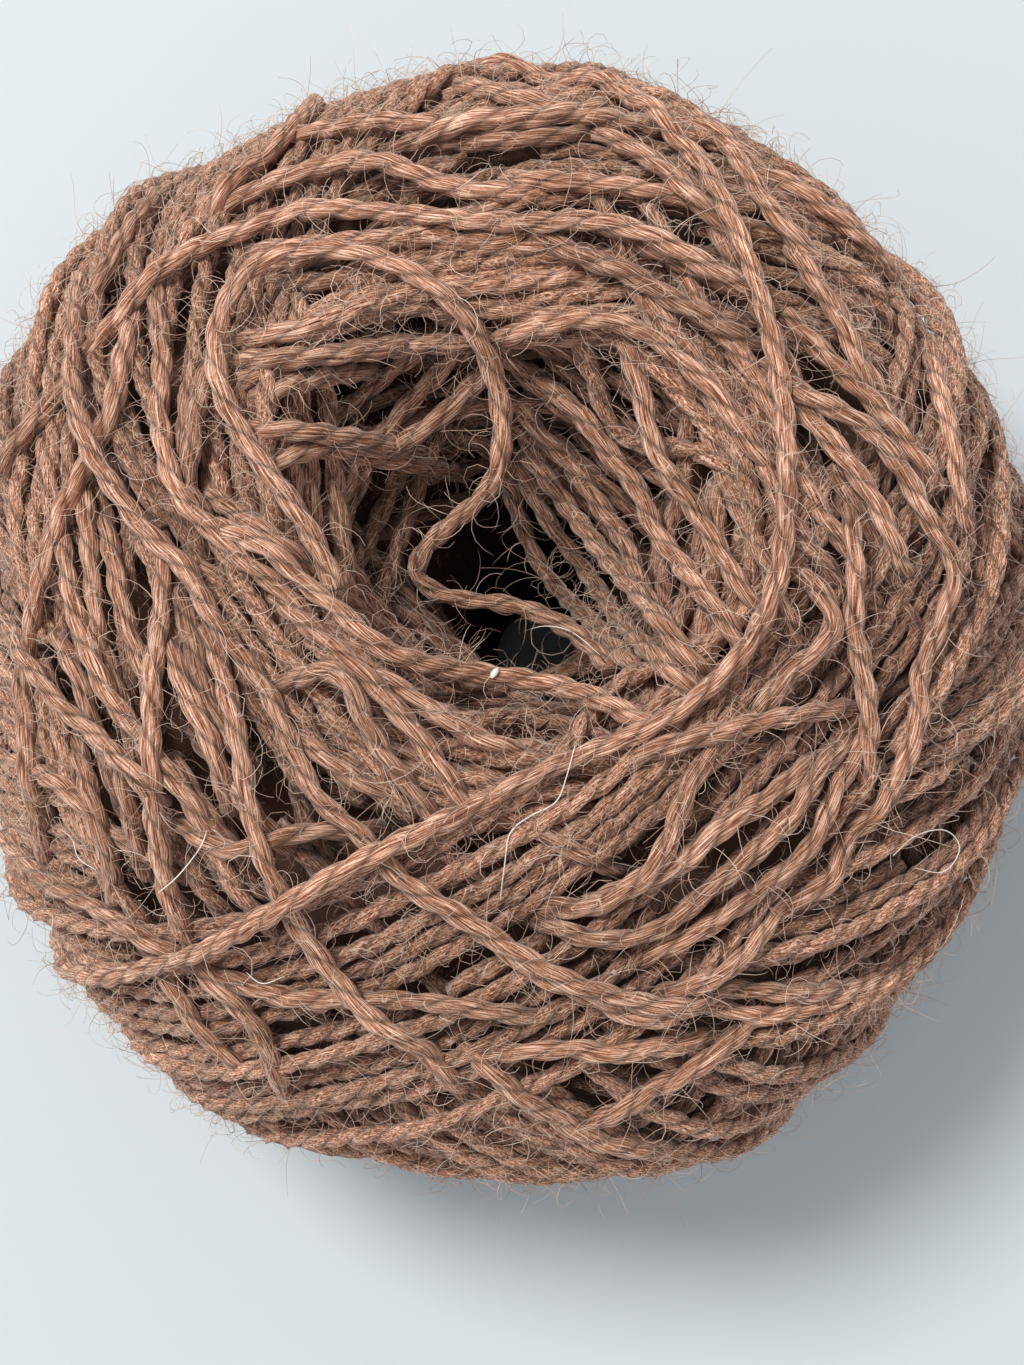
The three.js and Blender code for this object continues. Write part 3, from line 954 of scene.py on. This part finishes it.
def add_fuzz(name, ball, count, material):
    places, alongs = fuzz_roots(ball, count)
    funnel = (np.hypot(*(places[:, :2] - HOLE).T) < 19) & (places[:, 2] > 34)
    outs = unit(places - MIDDLE)
    outs[funnel] = unit(outs[funnel] * 0.3 + np.array([0, 0, 1.0]))
    outs = unit(outs - np.einsum("ij,ij->i", outs, alongs)[:, None] * alongs)
    asides = np.cross(alongs, outs)
    lean = np.radians(rng.uniform(-100, 100, count))
    normal = np.cos(lean)[:, None] * outs + np.sin(lean)[:, None] * asides
    point = places + normal * 0.62
    pick = rng.choice(len(FUZZ_KINDS), count, p=[k["share"] for k in FUZZ_KINDS])
    low, high = np.array([k["length"] for k in FUZZ_KINDS])[pick].T
    step = (low + (high - low) * rng.random(count) ** 1.6) / FUZZ_STEPS
    low, high = np.array([k["bend"] for k in FUZZ_KINDS])[pick].T
    bend = (low + (high - low) * rng.random(count)) * rng.choice([-1, 1], count)
    rise = np.array([k["rise"] for k in FUZZ_KINDS])[pick]
    pull = np.array([k["pull"] for k in FUZZ_KINDS])[pick]
    way = unit(alongs * rng.choice([-1, 1], count)[:, None] + rise[:, None] * normal
               + rng.normal(0, 0.45, (count, 3)))
    axis = unit(outs + rng.normal(0, 0.35, (count, 3)))
    path = [point]
    for _ in range(FUZZ_STEPS):
        turn = (bend * step)[:, None]
        way = unit(way * np.cos(turn) + np.cross(axis, way) * np.sin(turn)
                   + rng.normal(0, 0.05, (count, 3)))
        height = np.einsum("ij,ij->i", point - places, outs)
        way = unit(way - (pull * np.clip(height - 0.9, -0.2, 0.6))[:, None] * outs)
        point = point + way * step[:, None]
        path.append(point)
    path = np.stack(path, 1)
    rings = path[:, :, None, :].repeat(3, 2)
    along = unit(np.gradient(path, axis=1))
    side = unit(np.cross(along, axis[:, None, :] + 0.01))
    other = np.cross(along, side)
    thick = rng.uniform(0.017, 0.030, count)[:, None] * np.linspace(1.0, 0.55, FUZZ_STEPS + 1)[None, :]
    for k in range(3):
        angle = 2 * math.pi * k / 3
        rings[:, :, k] += thick[..., None] * (math.cos(angle) * side + math.sin(angle) * other)
    rings[..., 2] = np.maximum(rings[..., 2], 0.05)
    each = (FUZZ_STEPS + 1) * 3
    starts = np.arange(count) * each
    quads = (ring_faces(FUZZ_STEPS + 1, 3, False, 0)[None] + starts[:, None, None]).reshape(-1, 4)
    caps = list(starts[:, None] + [2, 1, 0]) + list(starts[:, None] + each - 3 + [0, 1, 2])
    mesh = make_mesh(name, rings.reshape(-1, 3), quads, caps)
    add_bake_map(mesh, len(quads), 3, caps, 0.3)
    tone = rng.normal(0, 1, count).repeat(each)
    mesh.attributes.new("tone", "FLOAT", "POINT").data.foreach_set("value", tone.astype(np.float32))
    return add_piece(name, mesh, material)


# Pale stray fibres and one speck of straw on the ball, in the photo's pixels. thick is in millimetres.
STRAYS = [
    dict(stray="curl", thick=0.05, route=[(575, 745), (567, 775), (556, 802), (530, 816), (510, 833),
        (505, 862), (500, 900)]),
    dict(stray="in the hole", thick=0.04, route=[(522, 632), (545, 626), (572, 632), (600, 655)]),
    dict(stray="right", thick=0.045, route=[(893, 856), (915, 836), (945, 830), (960, 848), (944, 872),
        (915, 868)]),
    dict(stray="left", thick=0.05, route=[(158, 893), (178, 876), (200, 848), (207, 830)]),
    dict(stray="left edge", thick=0.04, route=[(58, 828), (72, 838), (78, 858), (96, 870)]),
    dict(stray="left bottom", thick=0.04, route=[(246, 972), (262, 984), (285, 976)]),
    dict(stray="straw", thick=0.24, route=[(491, 678), (495, 673), (498, 668)]),
]


def add_strays(name, ball, material):
    points, quads = [], []
    sides = 5
    caps = []
    first = 0
    for stray in STRAYS:
        route = np.array(stray["route"], dtype=float)
        line = resample(np.column_stack([route, np.zeros(len(route))]), False, 3)
        rays = photo_rays(line[:, :2])
        base = -body_distance(rays, 3.0)
        need = np.maximum(base, ball.seen.look(CAMERA_PLACE - rays * base[:, None])) - 0.45
        path = smooth(pull_taut(CAMERA_PLACE, rays, need, -1, False, 30), 3, False)
        along = unit(np.gradient(path, axis=0))
        side = unit(np.cross(along, rays))
        other = np.cross(along, side)
        count = len(path)
        taper = stray["thick"] * (0.35 + 0.65 * np.sin(math.pi * np.linspace(0.02, 0.98, count)) ** 0.5)
        around = 2 * math.pi * np.arange(sides) / sides
        rings = path[:, None, :] + taper[:, None, None] * (
            np.cos(around)[:, None] * side[:, None, :] + np.sin(around)[:, None] * other[:, None, :])
        points.append(rings.reshape(-1, 3))
        quads.append(ring_faces(count, sides, False, first))
        caps += [first + np.arange(sides)[::-1], first + (count - 1) * sides + np.arange(sides)]
        first += count * sides
    mesh = make_mesh(name, np.concatenate(points), np.concatenate(quads), caps)
    return add_piece(name, mesh, material)


def loose_fibre():
    material, tree, shader = new_material("loose_fibre", 0.7)
    ramp = tree.nodes.new("ShaderNodeValToRGB")
    ramp.color_ramp.elements[0].color = (0.42, 0.22, 0.14, 1)
    ramp.color_ramp.elements[1].color = (0.95, 0.76, 0.62, 1)
    tree.links.new(mapped(tree, attribute(tree, "tone").outputs["Fac"], -1.8, 2.2), ramp.inputs["Fac"])
    tree.links.new(ramp.outputs["Color"], shader.inputs["Base Color"])
    return material


# Painted shade inside the ball, which shows through the gaps between the turns: a shell coloured dark for
# the shade that the inner windings lie in, with an outer wall under the turns, and an inner wall round
# the hole
CORE_INSET = 4.6
CORE_INNER = [(12.5, 2.5), (3.4, 3.2), (4.8, 7.0), (5.0, 16.0), (6.2, 24.0), (8.6, 33.0), (11.2, 41.0),
              (14.2, 46.5), (17.5, 50.0)]


def add_core(material):
    around = np.linspace(0, 2 * math.pi, 96, endpoint=False)
    tilt = np.radians(np.linspace(38, 150, 34))
    rows = []
    for t in tilt:
        rays = np.column_stack([np.sin(t) * np.cos(around), np.sin(t) * np.sin(around),
                                np.full(96, math.cos(t))])
        rows.append(MIDDLE + rays * (hull(rays, CORE_INSET))[:, None])
    for clear, height in CORE_INNER:
        centre = HOLE * min(1.0, height / 20.0)
        flat = centre + clear * np.column_stack([np.cos(around), np.sin(around)])
        rows.append(np.column_stack([flat, np.full(96, height)]))
    quads = ring_faces(len(rows), 96, True, 0)
    mesh = make_mesh("painted_shade_core", np.concatenate(rows), quads, [])
    return add_piece("painted_shade_core", mesh, material)


# Materials

# Fine pale hairs that lie flat on the wool: the lines along which a noise passes through its middle value
HAIR_LINES = [
    dict(scale=380, width=0.0065, strength=0.8),
    dict(scale=560, width=0.0085, strength=0.65),
]
HAIR_BREAKS = 900
HAIR_COLOUR = (0.84, 0.62, 0.49, 1)

# The fibres' own colours: where each lies in the noise
FIBRE_COLOURS = [
    dict(place=0.37, colour=(0.070, 0.022, 0.011, 1)),
    dict(place=0.5, colour=(0.37, 0.160, 0.088, 1)),
    dict(place=0.64, colour=(0.93, 0.61, 0.455, 1)),
]


def lying_hairs(tree):
    place = tree.nodes.new("ShaderNodeTexCoord").outputs["Object"]
    total = 0.0
    for line in HAIR_LINES:
        value = noise(tree, place, Scale=line["scale"], Detail=0.6)
        off = calculate(tree, "ABSOLUTE", calculate(tree, "SUBTRACT", value, 0.5), 0)
        near = mapped(tree, off, 0.0, line["width"], line["strength"], 0.0)
        total = calculate(tree, "MAXIMUM", near, total)
    part = mapped(tree, noise(tree, place, Scale=HAIR_BREAKS), 0.42, 0.56)
    return calculate(tree, "MULTIPLY", total, part)


def painted_shade_wool():
    material, tree, shader = new_material("painted_shade_wool", 1.0)
    # Painted shade: the inner yarn is coloured dark for the shade it lies in, with pale lying hairs over
    # it
    colour = mixed(tree, lying_hairs(tree), (0.085, 0.038, 0.022, 1), (0.45, 0.28, 0.20, 1))
    tree.links.new(colour, shader.inputs["Base Color"])
    return material


def wool():
    material, tree, shader = new_material("wool", 0.85)
    shader.inputs["Sheen Weight"].default_value = 0.3
    shader.inputs["Sheen Roughness"].default_value = 0.45
    shader.inputs["Sheen Tint"].default_value = (1.0, 0.86, 0.76, 1)
    shader.inputs["Specular IOR Level"].default_value = 0.25

    # Streaks along the fibres
    fibre = attribute(tree, "fibre").outputs["Vector"]
    stretch = tree.nodes.new("ShaderNodeVectorMath")
    stretch.operation = "MULTIPLY"
    stretch.inputs[1].default_value = (0.5, 8.0, 8.0)
    tree.links.new(fibre, stretch.inputs[0])
    streaks = noise(tree, stretch.outputs[0], Scale=1.0, Detail=4.0, Roughness=0.7)
    ramp = tree.nodes.new("ShaderNodeValToRGB")
    dark, middle, pale = FIBRE_COLOURS
    for element, fibre_colour in zip(ramp.color_ramp.elements, (dark, pale)):
        element.position = fibre_colour["place"]
        element.color = fibre_colour["colour"]
    ramp.color_ramp.elements.new(middle["place"]).color = middle["colour"]
    tree.links.new(streaks, ramp.inputs["Fac"])

    # Painted shade in the groove between the plies and down in the gaps between strands, and darker in
    # worn patches
    parts = tree.nodes.new("ShaderNodeSeparateXYZ")
    tree.links.new(attribute(tree, "ply").outputs["Vector"], parts.inputs[0])
    # Painted shade: the wool is coloured darker along the groove between the two plies
    groove_shade = mapped(tree, calculate(tree, "ABSOLUTE", parts.outputs["X"], 0), 0.0, 0.55, 0.42, 1.0)
    tone = calculate(tree, "MULTIPLY_ADD", parts.outputs["Z"], 0.10, 1.0)
    patches = noise(tree, fibre, Scale=0.16, Detail=1.0)
    tone = calculate(tree, "MULTIPLY", tone, calculate(tree, "MULTIPLY_ADD", patches, 0.9, 0.55))
    # Painted shade: the wool is coloured darker down in the gaps between strands and lower in the funnel
    gap_shade_factor = mapped(tree, attribute(tree, "gap_shade_height").outputs["Fac"], -2.6, 0.9, 0.42, 1.12)
    tone_and_shade = calculate(tree, "MULTIPLY", calculate(tree, "MULTIPLY", groove_shade, tone), gap_shade_factor)
    dim = tree.nodes.new("ShaderNodeVectorMath")
    dim.operation = "SCALE"
    tree.links.new(ramp.outputs["Color"], dim.inputs[0])
    tree.links.new(tone_and_shade, dim.inputs["Scale"])
    colour = mixed(tree, lying_hairs(tree), dim.outputs[0], HAIR_COLOUR)
    tree.links.new(colour, shader.inputs["Base Color"])
    bump = tree.nodes.new("ShaderNodeBump")
    bump.inputs["Strength"].default_value = 0.6
    bump.inputs["Distance"].default_value = 0.00015
    tree.links.new(streaks, bump.inputs["Height"])
    tree.links.new(bump.outputs["Normal"], shader.inputs["Normal"])
    return material


def add_floor():
    bpy.ops.mesh.primitive_plane_add(size=6.0, location=(0, 0, 0))
    floor = bpy.context.object
    floor.name = "floor"
    floor.data.materials.append(plain_material("pale_surface", (0.56, 0.605, 0.625, 1), 0.6))


def add_light(name, place, size, power, colour):
    data = bpy.data.lights.new(name, "AREA")
    data.shape = "DISK"
    data.size = size
    data.energy = power
    data.color = colour
    light = bpy.data.objects.new(name, data)
    bpy.context.scene.collection.objects.link(light)
    light.location = place
    light.rotation_euler = (Vector((0, 0, 0.03)) - Vector(place)).to_track_quat("-Z", "Y").to_euler()


def add_lights():
    world = bpy.data.worlds.new("world")
    world.use_nodes = True
    world.node_tree.nodes["Background"].inputs["Color"].default_value = (0.93, 0.96, 1.0, 1)
    world.node_tree.nodes["Background"].inputs["Strength"].default_value = 0.66
    bpy.context.scene.world = world
    add_light("window", (-0.4, 0.35, 1.2), 0.4, 13.5, (1.0, 0.985, 0.96))


add_camera()
bpy.context.scene.view_settings.view_transform = "Standard"
ball = Ball()
for trial in range(TRIALS):
    rng = np.random.default_rng(20)
    if trial:
        ball.unwind()
    wind_funnel(ball)
    wind_foot(ball)
    wind_turns(ball)
ball.round_off()
trace_photo(ball)
ball.flatten_foot()
strands = cut_hidden(ball)
material = wool()
PIECES = [
    dict(name="under_turns", group="under", step=1.3, sides=6),
    dict(name="wound_turns", group="turns", step=1.25, sides=8),
    dict(name="funnel_turns", group="funnel", step=0.85, sides=8),
    dict(name="top_turns", group="traced", step=0.55, sides=10),
]
for piece in PIECES:
    chosen = [s for s in strands if s["group"] == piece["group"]]
    add_strands(ball, piece["name"], chosen, piece["step"], piece["sides"], material)
fibre_material = loose_fibre()
for k in range(FUZZ_PIECES):
    add_fuzz("fuzz_" + str(k + 1), ball, FUZZ_HAIRS, fibre_material)
add_strays("stray_fibres", ball, plain_material("pale_fibre", (0.92, 0.84, 0.74, 1), 0.55))
add_core(painted_shade_wool())
add_floor()
add_lights()
